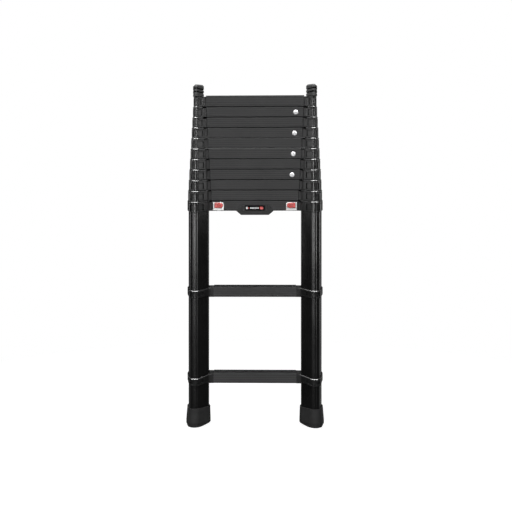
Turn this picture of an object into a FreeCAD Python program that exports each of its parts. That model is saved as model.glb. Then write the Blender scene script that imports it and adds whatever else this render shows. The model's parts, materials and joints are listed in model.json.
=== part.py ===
"""Telescoping ladder, closed: eleven nested pairs of three-cornered stiles, each pair with its step.

Frame: origin at the centre of the footprint on the ground, +Z up, +X to the climber's right,
-Y towards the climber. Millimetres. Everything is drawn for the right-hand stile and mirrored.
"""
import FreeCAD, Part
import math
import os

V = FreeCAD.Vector

# Overall layout
SLIDING_SECTIONS = 10
STEP_SPACING = 300.0
STACK_PITCH = 36.3
LOWEST_STEP_Z = 142.0
STACK_Z = LOWEST_STEP_Z + 2 * STEP_SPACING
STILE_X = 199.6
TREAD_SLANT = 12.0

# Stile tubes: rounded triangles, the base one outermost, each sliding one a size smaller
CORNER_DIRECTIONS = (45.0, 165.0, 285.0)
BASE_CORNER_SPACING = 36.2
CORNER_SPACING_DROP = 2.48
BASE_CORNER_RADIUS = 19.0
CORNER_RADIUS_DROP = 1.1
TUBE_WALL = 1.3
BASE_TUBE_BOTTOM = 11.0
TUBE_BELOW_COLLAR = 370.0
TUBE_INTO_COLLAR = 22.0

# Steps: hollow extrusions between the stiles
STEP_HEIGHT = 35.9
TOP_STEP_EXTRA = 3.0
STEP_DEPTH = 30.0
STEP_FRONT_FROM_STILE = -3.0
STEP_WALL = 2.0
NOSE_RADIUS = 4.0
EDGE_RADIUS = 2.5
BASE_STEP_HALF = 149.1
TOP_STEP_HALF = 170.8
FIXED_STEP_HALF = 144.0
TREAD_GROOVES = 5
TREAD_GROOVE_WIDTH = 1.6
TREAD_GROOVE_DEPTH = 0.7
FACE_GROOVES = 4
FACE_GROOVE_WIDTH = 0.8
FACE_GROOVE_DEPTH = 0.35

# Collars: plastic joints that hold a step's end, a tube's top and guide the next tube
BASE_COLLAR_PROUD = 3.8
TOP_COLLAR_PROUD = 2.6
BASE_COLLAR_FILLET = 12.0
TOP_COLLAR_FILLET = 7.0
COLLAR_TOP_ROUND = 3.0
COLLAR_BOTTOM_ROUND = 1.4
LIP_HEIGHT = 5.2
LIP_GROOVE = 2.0
LIP_GROOVE_DEPTH = 1.6
LIP_GROOVE_REACH = 6.0
LIP_CLEARANCE = 0.3
SEAT_CLEARANCE = 0.08
BLOCK_DROP = 5.0
SHELF_DEPTH = 13.0
SHELF_INTO_RING = 0.3
BLOCK_OUTER_FROM_STILE = -4.0
BLOCK_CORNER_RADIUS = 6.0
PANEL_HEIGHT = 22.0
BAND_PANEL_HEIGHT = 14.0
PANEL_DEPTH_SHARE = 0.8
PANEL_INNER_X = 176.0
PANEL_RIB_INNER = 8.0
PANEL_RIB_OUTER = 4.0
OUTER_PANEL_SHARE = 0.3
END_GROOVE = 2.0
SOCKET_SET_BACK = 0.4
SOCKET_TOP_DROP = 2.4
TONGUE_LENGTH = 14.0
TONGUE_CLEARANCE = 0.15

# Bands that hold the two fixed steps to the base tubes
BAND_BOTTOM = 6.0
BAND_TOP = 32.0

# Lock pins and release sliders
PIN_RADIUS = 4.0
PIN_BORE_RADIUS = 4.2
PIN_HOLE_RADIUS = 4.5
PIN_ABOVE_STEP_BOTTOM = 13.0
PIN_LENGTH = 34.0
PIN_CHAMFER = 0.8
LATCH_PIN_LENGTH = 43.3
RELEASE_TRAVEL = 6.0
THUMB_INNER = 111.7
THUMB_OUTER = 140.3
THUMB_HEIGHT = 17.0
THUMB_ABOVE_STEP_BOTTOM = 19.0
THUMB_DEPTH = 5.0
THUMB_GRIPS = 4
BEZEL_INNER = 108.2
BEZEL_OUTER = 145.5
BEZEL_BOTTOM = 1.3
BEZEL_TOP = 29.3
BEZEL_DEPTH = 2.2
STEM_INNER = 119.0
STEM_OUTER = 131.0
STEM_HEIGHT = 6.0
STEM_HUB = 12.0
SLOT_CLEARANCE = 0.4

# Name plate and its holder, hung from the middle of the latch step
HOLDER_TOP_HALF = 65.0
HOLDER_BOTTOM_HALF = 48.6
HOLDER_HANG = 14.0
HOLDER_RISE = 19.0
HOLDER_PROUD = 3.0
HOLDER_BEHIND = 9.0
PLATE_HALF = 34.7
PLATE_HEIGHT = 18.0
PLATE_BOTTOM = 0.6
PLATE_DEPTH = 1.2
CLIP_HALF = 40.0

# Rivets, end caps and feet
RIVET_SECTIONS = (3, 5, 7, 9)
RIVET_FROM_STEP_END = 26.5
RIVET_ABOVE_STEP_BOTTOM = 16.0
RIVET_RADIUS = 8.0
RIVET_DOME = 2.0
RIVET_DIMPLE = 3.0
RIVET_DIMPLE_DEPTH = 1.5
RIVET_SHANK = 3.2
CAP_TOP = 1181.4
CAP_CORNER_RADIUS = 8.0
CAP_WIDTH = 38.7
CAP_GROOVES = 2
CAP_FIRST_GROOVE = 17.0
CAP_GROOVE_PITCH = 11.8
CAP_GROOVE_DEPTH = 3.0
CAP_GROOVE = 5.0
CAP_CHAMFER = 5.0
CAP_SPIGOT = 30.0
FOOT_HEIGHT = 63.0
FOOT_RIM = 4.0
FOOT_FLARE = 6.8
FOOT_LEAN = 1.4
FOOT_SOLE = 14.0
FOOT_SOLE_ROUND = 3.0
FOOT_GROOVE = 1.6
FOOT_HEEL_START = 6.0
FOOT_HEEL_ANGLE = 12.0
SOLE_CHANNELS = 5

REACH = 300.0
RISE = math.tan(math.radians(TREAD_SLANT))


def corner_reach(section):
    """Distance from a stile's axis to the centres of its corner arcs."""
    return (BASE_CORNER_SPACING - CORNER_SPACING_DROP * section) / math.sqrt(3)


def corner_radius(section):
    return BASE_CORNER_RADIUS - CORNER_RADIUS_DROP * section


def share(section, base, top):
    """A size that changes evenly from the base to the top section."""
    return base + (top - base) * section / SLIDING_SECTIONS


def front_reach(section):
    """How far a tube's front corner stands before the stile's axis."""
    return corner_reach(section) * math.sin(math.radians(75)) + corner_radius(section)


def back_reach(section):
    return corner_reach(section) * math.sin(math.radians(45)) + corner_radius(section)


STILE_Y = (front_reach(0) - back_reach(0)) / 2
STEP_FRONT_Y = STILE_Y + STEP_FRONT_FROM_STILE
STEP_BACK_Y = STEP_FRONT_Y + STEP_DEPTH


def step_bottom(section):
    """Height of a step's lower front edge in the closed stack."""
    return STACK_Z + STACK_PITCH * section


def tube_top(section):
    return step_bottom(section) + TUBE_INTO_COLLAR


def step_half(section):
    return share(section, BASE_STEP_HALF, TOP_STEP_HALF)


def collar_proud(section):
    return share(section, BASE_COLLAR_PROUD, TOP_COLLAR_PROUD)


def step_height(section):
    return STEP_HEIGHT + (TOP_STEP_EXTRA if section == SLIDING_SECTIONS else 0.0)


def pin_y(section):
    """The lock pin meets the tube's inner corner, clear of the step's front wall."""
    corner_y = STILE_Y + corner_reach(section) * math.sin(math.radians(165))
    return max(corner_y, STEP_FRONT_Y + STEP_WALL + PIN_HOLE_RADIUS)


def pin_z(section):
    above_front_edge = PIN_ABOVE_STEP_BOTTOM + (pin_y(section) - STEP_FRONT_Y) * RISE
    return step_bottom(section) + above_front_edge


def inner_corner_x(section):
    """X of the tube's inner corner, where the lock pin enters."""
    return STILE_X - corner_reach(section) * math.cos(math.radians(15)) - corner_radius(section)


def reach_for_width(width, radius):
    """Corner reach of a rounded triangle with the given overall width."""
    return (width - 2 * radius) / (math.cos(math.radians(15)) + math.cos(math.radians(45)))


def triangle_wire(reach, radius, z, shift=0.0):
    """Rounded triangle about the right stile's axis, moved outwards by shift."""
    def point(direction, turn, mid=False):
        a = math.radians(direction)
        b = math.radians(direction + turn)
        x = STILE_X + shift + reach * math.cos(a) + radius * math.cos(b)
        y = STILE_Y + reach * math.sin(a) + radius * math.sin(b)
        return V(x, y, z)

    edges = []
    for direction in CORNER_DIRECTIONS:
        start, middle, end = (point(direction, turn) for turn in (-60, 0, 60))
        edges.append(Part.Arc(start, middle, end).toShape())
        edges.append(Part.makeLine(end, point(direction + 120, -60)))
    return Part.Wire(edges)


def triangle_prism(reach, radius, bottom, top):
    face = Part.Face(triangle_wire(reach, radius, bottom))
    return face.extrude(V(0, 0, top - bottom))


def slanted_slab(bottom, top):
    """All space between two treads' slopes, with heights given at the steps' front face."""
    thickness = (top - bottom) * math.cos(math.radians(TREAD_SLANT))
    slab = Part.makeBox(2 * REACH, 2 * REACH, thickness, V(-REACH, -REACH, 0))
    slab.rotate(V(0, 0, 0), V(1, 0, 0), TREAD_SLANT)
    slab.translate(V(0, STEP_FRONT_Y, bottom))
    return slab


def box_between(low, high):
    size = [high[i] - low[i] for i in range(3)]
    return Part.makeBox(*size, V(*low))


def rod_x(radius, x_from, x_to, y, z):
    """Round bar along X."""
    return Part.makeCylinder(radius, x_to - x_from, V(x_from, y, z), V(1, 0, 0))


def mirrored(shape):
    return shape.mirror(V(0, 0, 0), V(1, 0, 0))


def pair(shape):
    """A right-hand piece and its left-hand twin, as separate solids."""
    return Part.makeCompound([shape, mirrored(shape)])


def vertical_edges(shape, accept):
    found = []
    for edge in shape.Edges:
        first, last = edge.Vertexes[0].Point, edge.Vertexes[-1].Point
        upright = abs(first.x - last.x) < 1e-4 and abs(first.y - last.y) < 1e-4
        if upright and accept(first.x, first.y):
            found.append(edge)
    return found


def edges_on_slope(shape, height, accept=lambda point: True):
    """Edges lying in the sloping plane of the given height at the steps' front face."""
    def on_plane(point):
        return abs(point.z - height - (point.y - STEP_FRONT_Y) * RISE) < 1e-3

    found = []
    for edge in shape.Edges:
        span = edge.LastParameter - edge.FirstParameter
        points = [edge.valueAt(edge.FirstParameter + span * part / 4) for part in range(5)]
        if all(on_plane(point) for point in points) and accept(points[2]):
            found.append(edge)
    return found


def stile_tube(section):
    """One right-hand stile tube with its lock pin holes in the inner corner."""
    reach = corner_reach(section)
    radius = corner_radius(section)
    top = tube_top(section)
    bottom = BASE_TUBE_BOTTOM if section == 0 else step_bottom(section) - TUBE_BELOW_COLLAR
    tube = triangle_prism(reach, radius, bottom, top)
    tube = tube.cut(triangle_prism(reach, radius - TUBE_WALL, bottom - 1, top + 1))
    if section < SLIDING_SECTIONS:
        tube = tube.cut(rod_x(PIN_HOLE_RADIUS, 0, STILE_X, pin_y(section), pin_z(section)))
    if section > 0:
        engaged_z = pin_z(section - 1) - (STEP_SPACING - STACK_PITCH)
        tube = tube.cut(rod_x(PIN_HOLE_RADIUS, 0, STILE_X, pin_y(section - 1), engaged_z))
    return tube


def sloped_bar(half, inset, bottom, height=STEP_HEIGHT, x_from=None):
    """Bar along X with the steps' sloping section, smaller all round by inset."""
    front = STEP_FRONT_Y + inset
    back = STEP_BACK_Y - inset
    start = -half if x_from is None else x_from
    corners = []
    for y, level in ((front, inset), (back, inset), (back, height - inset), (front, height - inset)):
        corners.append(V(start, y, bottom + level + (y - STEP_FRONT_Y) * RISE))
    corners.append(corners[0])
    return Part.Face(Part.makePolygon(corners)).extrude(V(half - start, 0, 0))


def long_edges(shape, accept):
    found = []
    for edge in shape.Edges:
        first, last = edge.Vertexes[0].Point, edge.Vertexes[-1].Point
        along_x = abs(first.y - last.y) < 1e-4 and abs(first.z - last.z) < 1e-4
        if along_x and accept(first):
            found.append(edge)
    return found


def step(half, bottom, height=STEP_HEIGHT):
    """Hollow step with a rounded nose, fine lines on its face and anti-slip grooves on its tread."""
    middle = bottom + height / 2

    def is_nose(point):
        return point.y < STEP_FRONT_Y + 1 and point.z > middle

    bar = sloped_bar(half, 0, bottom, height)
    bar = bar.makeFillet(NOSE_RADIUS, long_edges(bar, is_nose))
    others = long_edges(bar, lambda point: point.y > STEP_BACK_Y - 0.01 or (
        point.y < STEP_FRONT_Y + 0.01 and point.z < middle - height / 4))
    bar = bar.makeFillet(EDGE_RADIUS, others)
    bar = bar.cut(sloped_bar(half + 1, STEP_WALL, bottom, height))
    grooves = []
    flat = STEP_DEPTH - NOSE_RADIUS - EDGE_RADIUS
    for index in range(TREAD_GROOVES):
        y = STEP_FRONT_Y + NOSE_RADIUS + flat * (index + 0.5) / TREAD_GROOVES
        z = bottom + height + (y - STEP_FRONT_Y) * RISE
        groove = box_between((-half - 1, y - TREAD_GROOVE_WIDTH / 2, z - TREAD_GROOVE_DEPTH),
                             (half + 1, y + TREAD_GROOVE_WIDTH / 2, z + 1))
        groove.rotate(V(0, y, z), V(1, 0, 0), TREAD_SLANT)
        grooves.append(groove)
    flat = height - NOSE_RADIUS - EDGE_RADIUS
    for index in range(FACE_GROOVES):
        z = bottom + EDGE_RADIUS + flat * (index + 0.5) / FACE_GROOVES
        grooves.append(box_between(
            (-half - 1, STEP_FRONT_Y - 1, z - FACE_GROOVE_WIDTH / 2),
            (half + 1, STEP_FRONT_Y + FACE_GROOVE_DEPTH, z + FACE_GROOVE_WIDTH / 2)))
    return bar.cut(grooves)


def connector_block(half, bottom, top):
    """Upright block between a step's end and the stile, its back outer corner rounded."""
    outer = STILE_X + BLOCK_OUTER_FROM_STILE
    block = box_between((half, STEP_FRONT_Y, bottom), (outer, STEP_BACK_Y, top))
    corner = vertical_edges(block, lambda x, y: x > outer - 0.01 and y > STEP_BACK_Y - 0.01)
    return block.makeFillet(BLOCK_CORNER_RADIUS, corner)


def collar_column(section, half, proud, bottom, top):
    """Tall right-hand ring and connector block, blended where they meet in front."""
    ring = triangle_prism(corner_reach(section), corner_radius(section) + proud, bottom, top)
    block = connector_block(half, bottom, top)
    column = ring.fuse(block).removeSplitter()
    meeting = vertical_edges(
        column, lambda x, y: abs(y - STEP_FRONT_Y) < 1e-3 and half + 1 < x < STILE_X)
    return column.makeFillet(share(section, BASE_COLLAR_FILLET, TOP_COLLAR_FILLET), meeting)


def side_panels(section, proud, bottom, top):
    """Recesses on both sides of the collar's front corner, at an even depth below its surface."""
    reach = corner_reach(section)
    radius = corner_radius(section) + proud
    low, high = bottom - REACH / 4, top + REACH / 4
    skin = triangle_prism(reach, radius + LIP_GROOVE_REACH, low, high)
    skin = skin.cut(triangle_prism(reach, radius - proud * PANEL_DEPTH_SHARE, low, high))
    skin = skin.common(slanted_slab(bottom, top))
    corner_x = STILE_X + reach * math.cos(math.radians(CORNER_DIRECTIONS[2]))
    flat_from = STILE_X - reach * math.cos(math.radians(15)) - radius * math.cos(math.radians(45))
    inner = (max(PANEL_INNER_X, flat_from + 1), corner_x - PANEL_RIB_INNER)
    outer_width = OUTER_PANEL_SHARE * (reach + radius)
    outer = (corner_x + PANEL_RIB_OUTER, corner_x + PANEL_RIB_OUTER + outer_width)
    panels = []
    for x_from, x_to in (inner, outer):
        window = box_between((x_from, -REACH / 4, low), (x_to, STEP_FRONT_Y - 1, high))
        panels.append(skin.common(window))
    return panels


def end_groove(half, low, high):
    """Shadow line between a step's end and the block beside it."""
    return box_between((half, STEP_FRONT_Y - 1, low), (half + END_GROOVE, STEP_FRONT_Y + END_GROOVE, high))


def tongue(half, bottom):
    """Plug on a collar that fills the end of the hollow step."""
    inset = STEP_WALL + TONGUE_CLEARANCE
    return sloped_bar(half + 1, inset, bottom, x_from=half - TONGUE_LENGTH)


def ring_groove(section, half, proud, bottom, top):
    """Thin groove round the collar's ring, outside the connector block."""
    reach = corner_reach(section)
    radius = corner_radius(section)
    low, high = bottom - REACH / 4, top + REACH / 4
    band = triangle_prism(reach, radius + proud + LIP_GROOVE_REACH, low, high)
    band = band.cut(triangle_prism(reach, radius + proud - LIP_GROOVE_DEPTH, low, high))
    band = band.cut(connector_block(half, low, high))
    return band.common(slanted_slab(bottom, top))


def stack_collar(section):
    """Right-hand collar on top of a tube in the closed stack."""
    half = step_half(section)
    proud = collar_proud(section)
    reach = corner_reach(section)
    radius = corner_radius(section)
    bottom = step_bottom(section)
    top = bottom + STEP_HEIGHT
    low, high = bottom - STEP_HEIGHT, top + STEP_HEIGHT
    collar = collar_column(section, half, proud, low, high).common(slanted_slab(bottom, top))
    collar = collar.makeFillet(
        COLLAR_TOP_ROUND, edges_on_slope(collar, top, lambda point: point.x > half + 0.01))
    shelf = box_between((half - 1, STEP_FRONT_Y - 20, low), (STILE_X, STEP_FRONT_Y + SHELF_DEPTH, high))
    shelf = shelf.common(slanted_slab(top - BLOCK_DROP, high))
    collar = collar.cut(shelf.cut(triangle_prism(reach, radius + proud - SHELF_INTO_RING, low, high)))
    collar = collar.makeFillet(
        COLLAR_BOTTOM_ROUND, edges_on_slope(collar, bottom, lambda point: point.x > half + 0.01))
    lip_bottom = top - LIP_HEIGHT
    collar = collar.cut(ring_groove(section, half, proud, lip_bottom - LIP_GROOVE, lip_bottom))
    panel_bottom = bottom + (STEP_HEIGHT - LIP_HEIGHT - PANEL_HEIGHT) / 2
    collar = collar.cut(side_panels(section, proud, panel_bottom, panel_bottom + PANEL_HEIGHT))
    collar = collar.cut(end_groove(half, low, high))
    collar = collar.fuse(tongue(half, bottom)).removeSplitter()
    seat = triangle_prism(reach, radius + SEAT_CLEARANCE, low, tube_top(section) + SEAT_CLEARANCE)
    if section < SLIDING_SECTIONS:
        mouth = triangle_prism(
            corner_reach(section + 1), corner_radius(section + 1) + LIP_CLEARANCE, low, high)
        pin_bore = rod_x(PIN_BORE_RADIUS, 0, STILE_X, pin_y(section), pin_z(section))
        return collar.cut([seat, mouth, pin_bore])
    return collar.cut([seat, triangle_prism(reach, radius - TUBE_WALL, low, high)])


def fixed_step_ring(bottom):
    """Right-hand band and socket that hold a fixed step to the base tube."""
    low, high = bottom - STEP_HEIGHT, bottom + 2 * STEP_HEIGHT
    band_bottom, band_top = bottom + BAND_BOTTOM, bottom + BAND_TOP
    column = collar_column(0, FIXED_STEP_HALF, BASE_COLLAR_PROUD, low, high)
    band = column.common(slanted_slab(band_bottom, band_top))
    band = band.makeFillet(COLLAR_TOP_ROUND, edges_on_slope(
        band, band_top, lambda point: point.x > FIXED_STEP_HALF + 0.01))
    band = band.makeFillet(COLLAR_BOTTOM_ROUND, edges_on_slope(
        band, band_bottom, lambda point: point.x > FIXED_STEP_HALF + 0.01))
    panel_bottom = (band_bottom + band_top - BAND_PANEL_HEIGHT) / 2
    band = band.cut(side_panels(0, BASE_COLLAR_PROUD, panel_bottom, panel_bottom + BAND_PANEL_HEIGHT))
    band = band.cut(end_groove(FIXED_STEP_HALF, low, high))
    socket = box_between((FIXED_STEP_HALF, STEP_FRONT_Y + SOCKET_SET_BACK, low),
                         (STILE_X, STEP_BACK_Y - SOCKET_SET_BACK, high))
    socket = socket.common(slanted_slab(bottom + SOCKET_SET_BACK, bottom + STEP_HEIGHT - SOCKET_TOP_DROP))
    ring = band.fuse([socket, tongue(FIXED_STEP_HALF, bottom)]).removeSplitter()
    return ring.cut(triangle_prism(corner_reach(0), corner_radius(0) + SEAT_CLEARANCE, low, high))


def heel_cutter():
    """Wedge under the boot's inner corner, so that the sole rises towards the steps."""
    cutter = Part.makeBox(REACH, REACH, FOOT_SOLE, V(FOOT_HEEL_START, -REACH / 2, -FOOT_SOLE))
    cutter.rotate(V(FOOT_HEEL_START, 0, 0), V(0, 1, 0), -FOOT_HEEL_ANGLE)
    cutter.rotate(V(0, 0, 0), V(0, 0, 1), CORNER_DIRECTIONS[1])
    cutter.translate(V(STILE_X, STILE_Y, 0))
    return cutter


def foot():
    """Right-hand rubber boot, flared towards its sole."""
    reach = corner_reach(0)
    radius = corner_radius(0)
    rim = triangle_wire(reach, radius + FOOT_RIM, FOOT_HEIGHT)
    waist = triangle_wire(reach, radius + FOOT_FLARE, FOOT_SOLE, FOOT_LEAN)
    upper = Part.makeLoft([rim, waist], True, True)
    sole_wire = triangle_wire(reach, radius + FOOT_FLARE, 0, FOOT_LEAN)
    sole = Part.Face(sole_wire).extrude(V(0, 0, FOOT_SOLE))
    sole = sole.makeFillet(FOOT_SOLE_ROUND, [edge for edge in sole.Edges if edge.BoundBox.ZMax < 0.01])
    boot = upper.fuse(sole).removeSplitter()
    groove = Part.Face(triangle_wire(reach, radius + FOOT_FLARE + 3, 0, FOOT_LEAN))
    groove = groove.cut(Part.Face(triangle_wire(reach, radius + FOOT_FLARE - FOOT_GROOVE, 0, FOOT_LEAN)))
    groove = groove.extrude(V(0, 0, FOOT_GROOVE))
    groove.translate(V(0, 0, FOOT_SOLE - 2 * FOOT_GROOVE))
    channels = []
    for index in range(SOLE_CHANNELS):
        y = STILE_Y + (index - (SOLE_CHANNELS - 1) / 2) * FOOT_SOLE
        channels.append(box_between((STILE_X - REACH / 4, y - FOOT_GROOVE, -1),
                                    (STILE_X + REACH / 4, y + FOOT_GROOVE, FOOT_GROOVE)))
    pocket_floor = BASE_TUBE_BOTTOM - SEAT_CLEARANCE
    pocket = triangle_prism(reach, radius + SEAT_CLEARANCE, pocket_floor, FOOT_HEIGHT + 1)
    return boot.cut([groove, heel_cutter(), pocket] + channels)


def end_cap():
    """Right-hand ribbed rubber cap with a sloping, chamfered top, plugged into the top tube."""
    section = SLIDING_SECTIONS
    collar_top = step_bottom(section) + STEP_HEIGHT
    cap_reach = reach_for_width(CAP_WIDTH, CAP_CORNER_RADIUS)
    body = triangle_prism(cap_reach, CAP_CORNER_RADIUS, step_bottom(section), CAP_TOP + STEP_HEIGHT)
    body = body.common(slanted_slab(collar_top + LIP_CLEARANCE, CAP_TOP))
    body = body.makeChamfer(CAP_CHAMFER, edges_on_slope(body, CAP_TOP))
    grooves = []
    for index in range(CAP_GROOVES):
        middle = CAP_TOP - CAP_FIRST_GROOVE - CAP_GROOVE_PITCH * index
        low, high = middle - CAP_GROOVE / 2, middle + CAP_GROOVE / 2
        outside = triangle_prism(cap_reach, CAP_CORNER_RADIUS + 5, low, high)
        core = triangle_prism(cap_reach, CAP_CORNER_RADIUS - CAP_GROOVE_DEPTH, low - 1, high + 1)
        grooves.append(outside.cut(core))
    body = body.cut(grooves)
    spigot_radius = corner_radius(section) - TUBE_WALL - TONGUE_CLEARANCE
    spigot_bottom = tube_top(section) - CAP_SPIGOT
    spigot = triangle_prism(corner_reach(section), spigot_radius, spigot_bottom, CAP_TOP - CAP_FIRST_GROOVE)
    return body.fuse(spigot).removeSplitter()


def lock_pin(section, length=PIN_LENGTH):
    """Right-hand spring pin, its tip just inside the tube's wall."""
    tip = inner_corner_x(section) + TUBE_WALL / 2
    pin = rod_x(PIN_RADIUS, tip - length, tip, pin_y(section), pin_z(section))
    ends = [edge for edge in pin.Edges if edge.BoundBox.XMin > tip - 0.01]
    return pin.makeChamfer(PIN_CHAMFER, ends)


def bezel_slot(grow):
    """Opening that the release slider's stem travels in."""
    z = pin_z(0)
    return box_between(
        (STEM_INNER - RELEASE_TRAVEL - grow, STEP_FRONT_Y - 20, z - STEM_HEIGHT / 2 - grow),
        (STEM_OUTER + grow, STEP_FRONT_Y + STEP_DEPTH / 3, z + STEM_HEIGHT / 2 + grow))


def release_bezel():
    """Right-hand guide plate round the release slider, its upper inner corner rounded."""
    bottom = step_bottom(0)
    plate = box_between((BEZEL_INNER, STEP_FRONT_Y - BEZEL_DEPTH, bottom + BEZEL_BOTTOM),
                        (BEZEL_OUTER, STEP_FRONT_Y, bottom + BEZEL_TOP))
    corner = [edge for edge in plate.Edges
              if edge.BoundBox.XMax < BEZEL_INNER + 0.01 and edge.BoundBox.ZMin > bottom + BEZEL_TOP - 0.01]
    plate = plate.makeFillet(BLOCK_CORNER_RADIUS, corner)
    rim = [edge for edge in plate.Edges if edge.BoundBox.YMax < STEP_FRONT_Y - BEZEL_DEPTH + 0.01]
    plate = plate.makeFillet(0.8, rim)
    return plate.cut(bezel_slot(SLOT_CLEARANCE))


def release_thumb():
    """Right-hand thumb slider: a D-shaped pad, grip grooves, and a stem that carries its pin."""
    z = step_bottom(0) + THUMB_ABOVE_STEP_BOTTOM
    back = STEP_FRONT_Y - BEZEL_DEPTH - SLOT_CLEARANCE / 4
    pad = box_between((THUMB_INNER, back - THUMB_DEPTH, z - THUMB_HEIGHT / 2),
                      (THUMB_OUTER, back, z + THUMB_HEIGHT / 2))
    round_end = [edge for edge in pad.Edges if edge.BoundBox.XMax < THUMB_INNER + 0.01
                 and edge.BoundBox.YLength > 1]
    pad = pad.makeFillet(THUMB_HEIGHT / 2 - 0.5, round_end)
    rim = [edge for edge in pad.Edges if edge.BoundBox.YMax < back - THUMB_DEPTH + 0.01]
    pad = pad.makeFillet(1.5, rim)
    grips = []
    for index in range(THUMB_GRIPS):
        x = (STEM_INNER + STEM_OUTER) / 2 + (index - (THUMB_GRIPS - 1) / 2) * 4
        grips.append(box_between((x - 0.8, back - THUMB_DEPTH - 1, z - THUMB_HEIGHT / 2 + 3),
                                 (x + 0.8, back - THUMB_DEPTH + 1, z + THUMB_HEIGHT / 2 - 3)))
    pad = pad.cut(grips)
    stem = box_between((STEM_INNER, back - 1, pin_z(0) - STEM_HEIGHT / 2),
                       (STEM_OUTER, pin_y(0), pin_z(0) + STEM_HEIGHT / 2))
    hub = box_between((STEM_INNER, pin_y(0) - STEM_HUB / 2, pin_z(0) - STEM_HUB / 2),
                      (STEM_OUTER, pin_y(0) + STEM_HUB / 2, pin_z(0) + STEM_HUB / 2))
    thumb = pad.fuse([stem, hub]).removeSplitter()
    return thumb.cut(rod_x(PIN_RADIUS + 0.05, STEM_INNER - 1, STEM_OUTER + 1, pin_y(0), pin_z(0)))


def holder_outline(y):
    """Outline of the name plate's holder: a rising front with a hanging trapezium."""
    edge = step_bottom(0)
    points = [(-HOLDER_TOP_HALF, edge), (-HOLDER_BOTTOM_HALF, edge - HOLDER_HANG),
              (HOLDER_BOTTOM_HALF, edge - HOLDER_HANG), (HOLDER_TOP_HALF, edge),
              (HOLDER_BOTTOM_HALF, edge + HOLDER_RISE), (-HOLDER_BOTTOM_HALF, edge + HOLDER_RISE)]
    corners = [V(x, y, z) for x, z in points]
    corners.append(corners[0])
    return Part.Face(Part.makePolygon(corners))


def name_plate_holder():
    """Moulded holder in front of and below the latch step, with two clip bars."""
    front = STEP_FRONT_Y - HOLDER_PROUD
    shell = holder_outline(front).extrude(V(0, HOLDER_PROUD, 0))
    rim = [edge for edge in shell.Edges if edge.BoundBox.YMax < front + 0.01]
    shell = shell.makeFillet(1.0, rim)
    edge = step_bottom(0)
    keel = box_between((-HOLDER_BOTTOM_HALF, STEP_FRONT_Y - 0.5, edge - HOLDER_HANG + 0.5),
                       (HOLDER_BOTTOM_HALF, STEP_FRONT_Y + HOLDER_BEHIND, edge - 1.5))
    shell = shell.fuse(keel).removeSplitter()
    plate_top = edge + PLATE_BOTTOM + PLATE_HEIGHT
    window = box_between((-PLATE_HALF - 0.1, front - 1, edge + PLATE_BOTTOM - 0.1),
                         (PLATE_HALF + 0.1, front + PLATE_DEPTH + 0.6, plate_top + 0.1))
    shell = shell.cut(window)
    bars = []
    for side in (-1, 1):
        bars.append(box_between((side * CLIP_HALF - 1.2, front - 0.8, edge + PLATE_BOTTOM),
                                (side * CLIP_HALF + 1.2, front + 1, plate_top - 1)))
    return shell.fuse(bars).removeSplitter()


def name_plate():
    front = STEP_FRONT_Y - HOLDER_PROUD + 0.6
    bottom = step_bottom(0) + PLATE_BOTTOM
    plate = box_between((-PLATE_HALF, front, bottom),
                        (PLATE_HALF, front + PLATE_DEPTH, bottom + PLATE_HEIGHT))
    rim = [edge for edge in plate.Edges if edge.BoundBox.YLength > PLATE_DEPTH - 0.01]
    return plate.makeFillet(1.0, rim)


def latch_step():
    """Step at the top of the base tubes, slotted for the release sliders' stems."""
    slots = [bezel_slot(SLOT_CLEARANCE), mirrored(bezel_slot(SLOT_CLEARANCE))]
    return step(step_half(0), step_bottom(0)).cut(slots)


def rivet_x(section):
    return step_half(section) - RIVET_FROM_STEP_END


def rivet_place(section):
    return V(rivet_x(section), STEP_FRONT_Y, step_bottom(section) + RIVET_ABOVE_STEP_BOTTOM)


def rivet(section):
    """Dome-headed rivet through the step's face, with a dimple in its head."""
    sphere_radius = (RIVET_RADIUS ** 2 + RIVET_DOME ** 2) / (2 * RIVET_DOME)
    place = rivet_place(section)
    ball = Part.makeSphere(sphere_radius, place + V(0, sphere_radius - RIVET_DOME, 0))
    head = ball.common(Part.makeCylinder(RIVET_RADIUS + 1, RIVET_DOME + 1, place, V(0, -1, 0)))
    dimple_floor = place - V(0, RIVET_DOME - RIVET_DIMPLE_DEPTH, 0)
    dimple = Part.makeCylinder(RIVET_DIMPLE, RIVET_DOME, dimple_floor, V(0, -1, 0))
    shank = Part.makeCylinder(RIVET_SHANK, STEP_WALL + 3, place - V(0, 0.5, 0), V(0, 1, 0))
    return head.fuse(shank).removeSplitter().cut(dimple)


def riveted_step(section):
    body = step(step_half(section), step_bottom(section), step_height(section))
    if section not in RIVET_SECTIONS:
        return body
    hole = Part.makeCylinder(
        RIVET_SHANK + 0.1, STEP_WALL + 5, rivet_place(section) - V(0, 2, 0), V(0, 1, 0))
    return body.cut(hole)


def save(name, shape):
    bad = [solid for solid in shape.Solids if not solid.isValid()]
    print(f"{name}: {len(shape.Solids)} solids, {shape.Volume / 1000:.1f} cm3, invalid {len(bad)}")
    shape.exportStep(f"parts/{name}.step")


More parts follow.
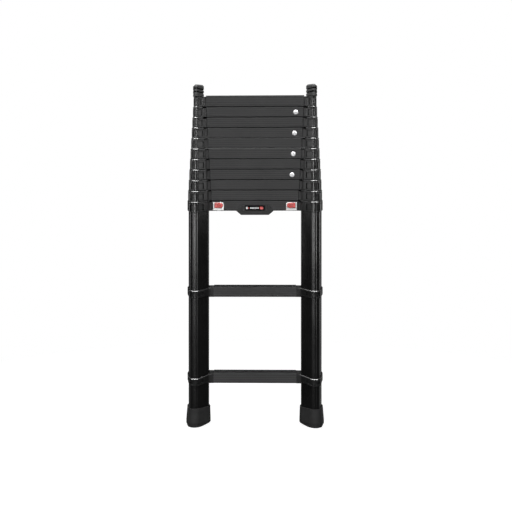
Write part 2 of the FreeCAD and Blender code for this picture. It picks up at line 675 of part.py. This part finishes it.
def main():
    os.makedirs("parts", exist_ok=True)
    save("base_stile_tubes", pair(stile_tube(0)))
    save("rubber_feet", pair(foot()))
    for number in (1, 2):
        bottom = LOWEST_STEP_Z + STEP_SPACING * (number - 1)
        save(f"fixed_step_{number}", step(FIXED_STEP_HALF, bottom))
        save(f"fixed_step_rings_{number}", pair(fixed_step_ring(bottom)))
    save("latch_step", latch_step())
    save("latch_collars", pair(stack_collar(0)))
    save("release_bezels", pair(release_bezel()))
    save("release_button_right", release_thumb())
    save("release_button_left", mirrored(release_thumb()))
    latch_pin = lock_pin(0, LATCH_PIN_LENGTH)
    save("latch_pin_right", latch_pin)
    save("latch_pin_left", mirrored(latch_pin))
    save("name_plate_holder", name_plate_holder())
    save("name_plate", name_plate())
    for section in range(1, SLIDING_SECTIONS + 1):
        save(f"stile_tubes_{section}", pair(stile_tube(section)))
        save(f"collars_{section}", pair(stack_collar(section)))
        save(f"step_{section}", riveted_step(section))
        if section < SLIDING_SECTIONS:
            save(f"lock_pins_{section}", pair(lock_pin(section)))
        if section in RIVET_SECTIONS:
            save(f"rivet_{section}", rivet(section))
    save("end_caps", pair(end_cap()))


main()
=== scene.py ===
"""Looks of the telescoping ladder: materials, name plate marks, studio and camera round the CAD frame."""
import json
import math

import bmesh
import bpy
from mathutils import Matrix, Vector


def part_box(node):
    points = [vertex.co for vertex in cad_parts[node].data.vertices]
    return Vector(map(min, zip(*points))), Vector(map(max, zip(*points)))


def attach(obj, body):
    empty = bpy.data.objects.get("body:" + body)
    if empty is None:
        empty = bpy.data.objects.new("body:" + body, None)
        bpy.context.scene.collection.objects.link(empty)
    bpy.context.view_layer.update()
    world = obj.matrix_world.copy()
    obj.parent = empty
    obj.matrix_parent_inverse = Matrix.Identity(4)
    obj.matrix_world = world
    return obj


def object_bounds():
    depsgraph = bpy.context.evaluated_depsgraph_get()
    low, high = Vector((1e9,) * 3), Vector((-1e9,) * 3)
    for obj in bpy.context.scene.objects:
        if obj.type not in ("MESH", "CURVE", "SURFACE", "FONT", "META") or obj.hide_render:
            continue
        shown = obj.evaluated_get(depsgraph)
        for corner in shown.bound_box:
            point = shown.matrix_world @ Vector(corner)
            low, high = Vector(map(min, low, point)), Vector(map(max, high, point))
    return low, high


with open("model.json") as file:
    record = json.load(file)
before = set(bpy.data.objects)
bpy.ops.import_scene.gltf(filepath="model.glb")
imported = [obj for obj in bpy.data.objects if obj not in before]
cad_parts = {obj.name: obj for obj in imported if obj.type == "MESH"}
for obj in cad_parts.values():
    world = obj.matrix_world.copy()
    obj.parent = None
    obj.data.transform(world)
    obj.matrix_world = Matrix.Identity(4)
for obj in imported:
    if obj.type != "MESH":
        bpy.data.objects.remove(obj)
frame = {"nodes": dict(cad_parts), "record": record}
cad_low, cad_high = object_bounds()

MM = 0.001

# Camera: level with the upper fixed step, a little to the right of the middle
CAMERA_HEIGHT = 0.585
CAMERA_ASIDE = 0.0038
CAMERA_DISTANCE = 1.830
CAMERA_TURN = math.radians(0.9)
CAMERA_LENS = 37.0
SENSOR = 36.0

# Marks on the name plate, generic blocks only: name, middle and width as shares of the plate's
# length, height as a share of its height, material
PLATE_MARKS = [
    ("plate_patch_white", -0.40, 0.075, 0.42, "bezel_white"),
    ("plate_patch_small", -0.315, 0.05, 0.30, "release_red"),
    ("plate_bar_1", -0.20, 0.05, 0.30, "bezel_white"),
    ("plate_bar_2", -0.125, 0.04, 0.30, "bezel_white"),
    ("plate_bar_3", -0.05, 0.05, 0.30, "bezel_white"),
    ("plate_bar_4", 0.025, 0.04, 0.30, "bezel_white"),
    ("plate_bar_5", 0.10, 0.05, 0.30, "bezel_white"),
    ("plate_bar_6", 0.17, 0.035, 0.30, "bezel_white"),
    ("plate_patch_red", 0.33, 0.17, 0.46, "release_red"),
]
MARK_DEPTH = 0.12 * MM
MARK_CORNER = 0.5 * MM

# Noise values mostly lie between these
NOISE_LOW = 0.3
NOISE_HIGH = 0.7

# Rounding that counts as an edge, and width that counts as a recess or gap that takes painted shade
EXTRUSION_EDGE = 0.9 * MM
MOULDED_EDGE = 1.1 * MM
EXTRUSION_GAP = 9.0 * MM
MOULDED_RECESS = 7.0 * MM
METAL_RECESS = 2.5 * MM

# How much of a colour is left in a recess, where shade is painted in
EXTRUSION_PAINTED_SHADE = 0.12
MOULDED_PAINTED_SHADE = 0.35
METAL_PAINTED_SHADE = 0.3

# Matt parts of the collars beside the steps, painted lighter as painted sheen: heights, and how far from
# the middle they end there
SHOE_LOW = 0.70
SHOE_HIGH = 1.16
SHOE_END_LOW = 0.160
SHOE_END_HIGH = 0.184
SHOE_ROUGHNESS = 0.50
SHOE_SPECULAR = 0.04
SHOE_BLEND = 1.5 * MM

# Floor: paint near the ladder, pure backdrop white beyond
FLOOR_RADIUS = 14.0
FLOOR_FADE_FROM = 0.6
FLOOR_FADE_TO = 1.8
FLOOR_GLOW = 0.88
FLOOR_ALBEDO = 0.35

# Parts of a strip light: lowest and highest point in metres, and share of the strip's brightness
STRIP_PARTS = [(0.55, 2.6, 1.0), (0.1, 0.55, 0.3), (-0.3, 0.1, 0.08), (-0.9, -0.3, 0.03)]

# Heights that the lights are aimed at or stand at: the ladder's middle, the stack, the side panels
MIDDLE_HEIGHT = 0.70
STACK_HEIGHT = 0.95
FLANK_PANEL_HEIGHT = 1.40

# Reflected surroundings: beside and before the ladder, and behind it
SIDE_GLOW = 0.05
BACKDROP_GLOW = 0.16
BACKDROP_DIRECTION = (0.5, 0.866, 0.0)


# ---------------------------------------------------------------- node helpers

def new_material(name):
    material = bpy.data.materials.new(name)
    material.use_nodes = True
    tree = material.node_tree
    return material, tree, tree.nodes["Principled BSDF"]


def add(tree, kind, inputs=None, **settings):
    """A node with its properties and its named or numbered inputs set; an input may be another socket."""
    node = tree.nodes.new(kind)
    for key, value in settings.items():
        setattr(node, key, value)
    for key, value in (inputs or {}).items():
        if isinstance(value, bpy.types.NodeSocket):
            tree.links.new(value, node.inputs[key])
        else:
            node.inputs[key].default_value = value
    return node


def object_points(tree, stretch=(1.0, 1.0, 1.0)):
    """Places on the object in metres, each axis multiplied by stretch."""
    place = add(tree, "ShaderNodeTexCoord").outputs["Object"]
    return add(tree, "ShaderNodeMapping", {"Vector": place, "Scale": stretch}).outputs[0]


def noise(tree, scale, detail=4.0, stretch=(1.0, 1.0, 1.0), roughness=0.55):
    """Noise value about 0 to 1; scale is waves per metre before stretch."""
    points = object_points(tree, stretch)
    return add(tree, "ShaderNodeTexNoise",
               {"Vector": points, "Scale": scale, "Detail": detail, "Roughness": roughness}).outputs["Fac"]


def remap(tree, value, low, high, to_low, to_high):
    node = add(tree, "ShaderNodeMapRange", {0: value, 1: low, 2: high, 3: to_low, 4: to_high})
    return node.outputs[0]


def vary(tree, value, to_low, to_high):
    """A noise value spread over the given range."""
    return remap(tree, value, NOISE_LOW, NOISE_HIGH, to_low, to_high)


def calculate(tree, operation, a, b):
    return add(tree, "ShaderNodeMath", {0: a, 1: b}, operation=operation).outputs[0]


def mix_colours(tree, factor, a, b):
    node = add(tree, "ShaderNodeMix", {0: factor, 6: a, 7: b}, data_type="RGBA")
    return node.outputs[2]


def edge_mask(tree, radius):
    """1 on edges sharper than radius, 0 on flat faces."""
    rounded = add(tree, "ShaderNodeBevel", {"Radius": radius}, samples=4)
    geometry = add(tree, "ShaderNodeNewGeometry")
    alike = add(tree, "ShaderNodeVectorMath", {0: rounded.outputs[0], 1: geometry.outputs["Normal"]},
                operation="DOT_PRODUCT").outputs["Value"]
    return remap(tree, alike, 1.0, 0.86, 0.0, 1.0)


def upward_mask(tree):
    """1 on faces that look upwards, 0 on upright and hanging ones."""
    normal = add(tree, "ShaderNodeNewGeometry").outputs["Normal"]
    up = add(tree, "ShaderNodeSeparateXYZ", {0: normal}).outputs["Z"]
    return remap(tree, up, 0.05, 0.30, 0.0, 1.0)


def painted_recess_shade_mask(tree, distance):
    """Painted shade mask: 1 in the open, falling to 0 in grooves, gaps and recesses narrower than the
    distance, where shade is painted into colours.
    """
    open_share = add(tree, "ShaderNodeAmbientOcclusion", {"Distance": distance}, samples=8).outputs["AO"]
    return remap(tree, open_share, 0.45, 0.95, 0.0, 1.0)


def bump(tree, *layers):
    """Stacked bump layers of (height value, distance in metres, strength)."""
    normal = None
    for height, distance, strength in layers:
        inputs = {"Height": height, "Distance": distance, "Strength": strength}
        if normal is not None:
            inputs["Normal"] = normal
        normal = add(tree, "ShaderNodeBump", inputs).outputs["Normal"]
    return normal


def grey(value):
    return (value, value, value * 1.01, 1.0)


# ---------------------------------------------------------------- materials

def anodised(name, dark, light, painted_top_shade, lines_along, roughness, edge_wear_and_highlight_colour, specular):
    """Anodised aluminium extrusion: die lines along one axis, a fine matt grain, and paler edges that are
    part wear and part painted highlight.

    Upward faces take a painted top shade and a matt anti-slip finish, and narrow gaps are darkened with
    painted shade."""
    material, tree, shader = new_material(name)
    along = [1.0, 1.0, 1.0]
    along["XYZ".index(lines_along)] = 0.012
    lines = noise(tree, 900.0, 3.0, tuple(along), 0.6)
    grain = noise(tree, 5200.0, 2.0)
    cloud = noise(tree, 9.0, 4.0)
    scuffs = noise(tree, 140.0, 5.0, (1.0, 1.0, 0.35), 0.7)
    shade = calculate(tree, "ADD", vary(tree, cloud, 0.0, 0.6),
                      vary(tree, lines, 0.0, 0.4))
    body = mix_colours(tree, shade, grey(dark), grey(light))
    # Edge colour: part wear, broken up by the scuff noise, and part painted highlight along the rounded
    # edges
    edge_wear_and_highlight_share = calculate(tree, "MULTIPLY", edge_mask(tree, EXTRUSION_EDGE),
                       remap(tree, scuffs, 0.45, 0.7, 0.1, 0.8))
    body = mix_colours(tree, edge_wear_and_highlight_share, body, grey(edge_wear_and_highlight_colour))
    up = upward_mask(tree)
    # Painted shade on the tops: faces that look upwards are coloured by their facing, here at the light end
    # of the body
    body = mix_colours(tree, up, body, grey(painted_top_shade))
    # Painted shade: the colour darkens in narrow gaps and recesses, where shade falls
    body = mix_colours(tree, painted_recess_shade_mask(tree, EXTRUSION_GAP), grey(dark * EXTRUSION_PAINTED_SHADE), body)
    tree.links.new(body, shader.inputs["Base Color"])
    rough = calculate(tree, "ADD", vary(tree, cloud, -0.04, 0.05),
                      vary(tree, lines, -0.03, 0.03))
    rough = calculate(tree, "ADD", rough, remap(tree, up, 0.0, 1.0, roughness, 0.75))
    tree.links.new(rough, shader.inputs["Roughness"])
    tree.links.new(bump(tree, (lines, 0.012 * MM, 0.25), (grain, 0.004 * MM, 0.3)), shader.inputs["Normal"])
    tree.links.new(remap(tree, up, 0.0, 1.0, specular, 0.0), shader.inputs["Specular IOR Level"])
    return material


def beside_step(tree):
    """1 on the part of a collar that runs to its step, 0 round the stile."""
    place = add(tree, "ShaderNodeSeparateXYZ", {0: object_points(tree)})
    ends = remap(tree, place.outputs["Z"], SHOE_LOW, SHOE_HIGH, SHOE_END_LOW, SHOE_END_HIGH)
    beyond = calculate(tree, "SUBTRACT", calculate(tree, "ABSOLUTE", place.outputs["X"], 0.0), ends)
    return remap(tree, beyond, -SHOE_BLEND, SHOE_BLEND, 1.0, 0.0)


def moulded(name, dark, light, roughness, grain_size, grain_depth, edge_wear_and_highlight_colour, specular=0.5, block_painted_sheen=None):
    """Moulded plastic or rubber: spark-eroded grain, faint flow marks, paler edges that are part scuffing
    and part painted highlight.

    The parts of a collar beside its step take a lighter painted sheen and a matt finish."""
    material, tree, shader = new_material(name)
    grain = noise(tree, 1.0 / grain_size, 3.0)
    flow = noise(tree, 35.0, 4.0, (1.0, 1.0, 2.5))
    scuffs = noise(tree, 220.0, 5.0, roughness=0.7)
    body = mix_colours(tree, vary(tree, flow, 0.0, 1.0), dark, light)
    # Painted shade colour for recesses
    recess_painted_shade = tuple(channel * MOULDED_PAINTED_SHADE for channel in dark[:3]) + (1.0,)
    gloss = specular
    if block_painted_sheen is not None:
        near = beside_step(tree)
        # Painted sheen: the blocks beside the steps are coloured lighter, standing for light they catch
        body = mix_colours(tree, near, body, block_painted_sheen)
        gloss = remap(tree, near, 0.0, 1.0, specular, SHOE_SPECULAR)
        roughness = remap(tree, near, 0.0, 1.0, roughness, SHOE_ROUGHNESS)
    in_open = painted_recess_shade_mask(tree, MOULDED_RECESS)
    # Painted shade: the colour darkens in recesses, where shade falls
    body = mix_colours(tree, in_open, recess_painted_shade, body)
    # Edge colour: part scuffing and part painted highlight along the rounded edges
    edge_wear_and_highlight_share = calculate(tree, "MULTIPLY", edge_mask(tree, MOULDED_EDGE), vary(tree, scuffs, 0.45, 1.0))
    tree.links.new(mix_colours(tree, edge_wear_and_highlight_share, body, edge_wear_and_highlight_colour), shader.inputs["Base Color"])
    rough = calculate(tree, "ADD", vary(tree, flow, -0.03, 0.03),
                      vary(tree, grain, -0.03, 0.03))
    tree.links.new(calculate(tree, "ADD", rough, roughness), shader.inputs["Roughness"])
    tree.links.new(bump(tree, (grain, grain_depth, 0.6), (flow, 0.03 * MM, 0.1)), shader.inputs["Normal"])
    tree.links.new(calculate(tree, "MULTIPLY", in_open, gloss), shader.inputs["Specular IOR Level"])
    return material


def metal(name, colour, metallic, roughness, stretch):
    """Bare metal with fine turning or rolling marks, darkened by painted shade where it is recessed."""
    material, tree, shader = new_material(name)
    marks = noise(tree, 2600.0, 3.0, stretch, 0.6)
    smudge = noise(tree, 90.0, 4.0)
    # Painted shade: the colour darkens where the metal is recessed
    recess_painted_shade = tuple(channel * METAL_PAINTED_SHADE for channel in colour[:3]) + (1.0,)
    body = mix_colours(tree, painted_recess_shade_mask(tree, METAL_RECESS), recess_painted_shade, colour)
    tree.links.new(body, shader.inputs["Base Color"])
    shader.inputs["Metallic"].default_value = metallic
    rough = calculate(tree, "ADD", vary(tree, marks, -0.05, 0.06),
                      vary(tree, smudge, -0.04, 0.05))
    tree.links.new(calculate(tree, "ADD", rough, roughness), shader.inputs["Roughness"])
    tree.links.new(bump(tree, (marks, 0.012 * MM, 0.4)), shader.inputs["Normal"])
    return material


def make_materials():
    """One material for each slot of the record."""
    return {
        "stile_anodised": anodised("stile_anodised", dark=0.004, light=0.006, painted_top_shade=0.006, lines_along="Z",
                                   roughness=0.16, edge_wear_and_highlight_colour=0.012, specular=0.42),
        "step_anodised": anodised("step_anodised", dark=0.064, light=0.074, painted_top_shade=0.074, lines_along="X",
                                  roughness=0.55, edge_wear_and_highlight_colour=0.07, specular=0.01),
        "collar_plastic": moulded("collar_plastic", grey(0.011), grey(0.015), roughness=0.19,
                                  grain_size=0.35 * MM, grain_depth=0.004 * MM, edge_wear_and_highlight_colour=grey(0.09),
                                  specular=0.27, block_painted_sheen=grey(0.024)),
        "black_rubber": moulded("black_rubber", grey(0.010), grey(0.014), roughness=0.58,
                                grain_size=0.5 * MM, grain_depth=0.03 * MM, edge_wear_and_highlight_colour=grey(0.04),
                                specular=0.08),
        "bezel_white": moulded("bezel_white", (0.78, 0.78, 0.77, 1), (0.86, 0.86, 0.85, 1), roughness=0.34,
                               grain_size=0.3 * MM, grain_depth=0.008 * MM, edge_wear_and_highlight_colour=(0.62, 0.61, 0.58, 1)),
        "release_red": moulded("release_red", (0.62, 0.040, 0.034, 1), (0.70, 0.055, 0.045, 1),
                               roughness=0.36, grain_size=0.3 * MM, grain_depth=0.008 * MM,
                               edge_wear_and_highlight_colour=(0.75, 0.16, 0.13, 1), specular=0.2),
        "pin_steel": metal("pin_steel", (0.56, 0.56, 0.57, 1), metallic=1.0, roughness=0.28,
                           stretch=(0.02, 1.0, 1.0)),
        "rivet_steel": metal("rivet_steel", (0.62, 0.62, 0.63, 1), metallic=0.0, roughness=0.45,
                             stretch=(1.0, 0.05, 1.0)),
        "plate_black": moulded("plate_black", grey(0.003), grey(0.005), roughness=0.12,
                               grain_size=0.3 * MM, grain_depth=0.002 * MM, edge_wear_and_highlight_colour=grey(0.02),
                               specular=0.04),
    }


def dress_nodes(materials):
    """Every CAD node takes the material of its slot in the record."""
    slots = {part["node"]: part["material_slot"] for part in frame["record"]["subparts"]}
    for name, node in frame["nodes"].items():
        node.data.materials.clear()
        node.data.materials.append(materials[slots[name]])


# ---------------------------------------------------------------- name plate marks

def rounded_block(name, middle, width, height, material):
    """Thin block with small rounded corners, lying on the name plate and facing -Y."""
    mesh = bmesh.new()
    bmesh.ops.create_cube(mesh, size=1.0)
    bmesh.ops.scale(mesh, vec=(width, MARK_DEPTH, height), verts=mesh.verts)
    bmesh.ops.translate(mesh, vec=middle, verts=mesh.verts)
    across = [edge for edge in mesh.edges
              if abs(edge.verts[0].co.x - edge.verts[1].co.x) < 1e-6
              and abs(edge.verts[0].co.z - edge.verts[1].co.z) < 1e-6]
    bmesh.ops.bevel(mesh, geom=across, offset=MARK_CORNER, segments=3, affect="EDGES")
    data = bpy.data.meshes.new(name)
    mesh.to_mesh(data)
    mesh.free()
    data.materials.append(material)
    block = bpy.data.objects.new(name, data)
    bpy.context.scene.collection.objects.link(block)
    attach(block, "base")


def make_plate_marks(materials):
    """Generic blocks in the places of the plate's printing: two patches, a row of bars and a red patch."""
    low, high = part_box("name_plate")
    length, height = high.x - low.x, high.z - low.z
    middle_x, middle_z = (low.x + high.x) / 2, (low.z + high.z) / 2
    for name, share, width, tall, slot in PLATE_MARKS:
        middle = Vector((middle_x + share * length, low.y - MARK_DEPTH / 2, middle_z))
        rounded_block(name, middle, width * length, tall * height, materials[slot])


# ---------------------------------------------------------------- studio

def floor_paint():
    """Pale studio paint that fades into the white backdrop away from the ladder."""
    material, tree, shader = new_material("studio_floor_paint")
    paper = noise(tree, 60.0, 3.0)
    away = add(tree, "ShaderNodeVectorMath", {0: object_points(tree)}, operation="LENGTH").outputs["Value"]
    fade = remap(tree, away, FLOOR_FADE_FROM, FLOOR_FADE_TO, FLOOR_GLOW, 1.0)
    kept = remap(tree, away, FLOOR_FADE_FROM, FLOOR_FADE_TO, FLOOR_ALBEDO, 0.0)
    tree.links.new(vary(tree, paper, 0.78, 0.84), shader.inputs["Roughness"])
    tree.links.new(mix_colours(tree, kept, grey(0.0), grey(1.0)), shader.inputs["Base Color"])
    tree.links.new(fade, shader.inputs["Emission Strength"])
    shader.inputs["Emission Color"].default_value = (1.0, 1.0, 1.0, 1.0)
    shader.inputs["Specular IOR Level"].default_value = 0.0
    return material


def make_floor():
    """Large pale disc that the ladder stands on."""
    bpy.ops.mesh.primitive_circle_add(vertices=128, radius=FLOOR_RADIUS, fill_type="NGON",
                                      location=(0, 0, cad_low.z))
    floor = bpy.context.object
    floor.name = "studio_floor"
    floor.visible_diffuse = False
    floor.visible_glossy = False
    floor.visible_shadow = False
    floor.data.materials.append(floor_paint())


def soft_light(name, towards, direction, distance, width, height, power, in_gloss=True, in_shade=True):
    """Rectangular soft light, aimed at a point from a direction given as (turn, elevation) in degrees.

    Turn 0 is the climber's side, 90 the climber's right. It can be left out of gloss or out of shade."""
    turn, elevation = (math.radians(angle) for angle in direction)
    level = math.cos(elevation)
    back = Vector((math.sin(turn) * level, -math.cos(turn) * level, math.sin(elevation)))
    data = bpy.data.lights.new(name, "AREA")
    data.shape = "RECTANGLE"
    data.size = width
    data.size_y = height
    data.energy = power
    light = bpy.data.objects.new(name, data)
    light.visible_camera = False
    light.visible_glossy = in_gloss
    light.visible_diffuse = in_shade
    light.location = towards + back * distance
    light.rotation_mode = "QUATERNION"
    light.rotation_quaternion = (-back).to_track_quat("-Z", "Y")
    bpy.context.scene.collection.objects.link(light)


def strip_light(name, turn, distance, width, radiance):
    """Tall strip that shows only in gloss, dimmer towards the ground."""
    for part, (low, high, share) in enumerate(STRIP_PARTS):
        middle = Vector((0.0, 0.0, (low + high) / 2))
        power = radiance * share * math.pi * width * (high - low)
        soft_light(f"{name}_{part}", middle, (turn, 0), distance, width, high - low, power, in_shade=False)


def make_lights():
    """Tall strips draw the lines down the stiles, side panels show the collars' flanks, high lights rim
    the collars' lips, and wide fills light the matt faces all round."""
    middle = Vector((0.0, 0.0, MIDDLE_HEIGHT))
    stack = Vector((0.0, 0.0, STACK_HEIGHT))
    flanks = Vector((0.0, 0.0, FLANK_PANEL_HEIGHT))
    strip_light("strip_front", -9, 1.82, 0.19, 24.0)
    strip_light("strip_right", 39, 1.9, 0.26, 10.0)
    strip_light("strip_left", -44, 1.9, 0.40, 7.0)
    soft_light("side_right", flanks, (82, 0), 1.9, 0.9, 0.86, 6.5, in_shade=False)
    soft_light("side_left", flanks, (-84, 0), 1.9, 0.9, 0.86, 6.5, in_shade=False)
    soft_light("crest", stack, (-8, 60), 12.0, 20.8, 4.4, 33600.0, in_shade=False)
    soft_light("crest_top", stack, (-8, 80), 12.0, 20.8, 11.2, 11000.0, in_shade=False)
    soft_light("overhead", middle, (0, 68), 6.0, 2.8, 0.5, 53.0)
    soft_light("front_fill", middle, (0, -3), 4.0, 2.4, 2.4, 104.0, in_gloss=False)
    strip_light("back_right", 125, 1.9, 0.30, 3.0)
    strip_light("back_left", -125, 1.9, 0.30, 3.0)
    soft_light("back_fill", middle, (180, 8), 4.0, 2.4, 2.4, 90.0, in_gloss=False)
    soft_light("side_fill_right", middle, (96, 10), 3.0, 1.6, 2.0, 26.0, in_gloss=False)
    soft_light("side_fill_left", middle, (-96, 10), 3.0, 1.6, 2.0, 26.0, in_gloss=False)


def make_world():
    """White room whose reflections stay dim, so that the dark faces keep their shape."""
    world = bpy.data.worlds.new("studio_world")
    bpy.context.scene.world = world
    world.use_nodes = True
    tree = world.node_tree
    background = tree.nodes["Background"]
    direction = add(tree, "ShaderNodeTexCoord").outputs["Generated"]
    behind = add(tree, "ShaderNodeVectorMath", {0: direction, 1: BACKDROP_DIRECTION},
                 operation="DOT_PRODUCT").outputs["Value"]
    glow = remap(tree, behind, 0.6, 1.0, SIDE_GLOW, BACKDROP_GLOW)
    seen = add(tree, "ShaderNodeLightPath").outputs["Is Camera Ray"]
    level = calculate(tree, "MAXIMUM", seen, glow)
    tree.links.new(level, background.inputs["Strength"])
    background.inputs["Color"].default_value = (1.0, 1.0, 1.0, 1.0)


def make_camera():
    data = bpy.data.cameras.new("camera")
    data.lens = CAMERA_LENS
    data.sensor_width = SENSOR
    camera = bpy.data.objects.new("camera", data)
    back = Vector((math.sin(CAMERA_TURN), -math.cos(CAMERA_TURN), 0.0))
    front_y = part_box("latch_step")[0].y
    camera.location = Vector((CAMERA_ASIDE, front_y, CAMERA_HEIGHT)) + back * CAMERA_DISTANCE
    camera.rotation_mode = "QUATERNION"
    camera.rotation_quaternion = (-back).to_track_quat("-Z", "Y")
    bpy.context.scene.collection.objects.link(camera)
    bpy.context.scene.camera = camera


materials = make_materials()
dress_nodes(materials)
make_plate_marks(materials)
make_floor()
make_lights()
make_world()
make_camera()
bpy.context.scene.view_settings.view_transform = "Standard"
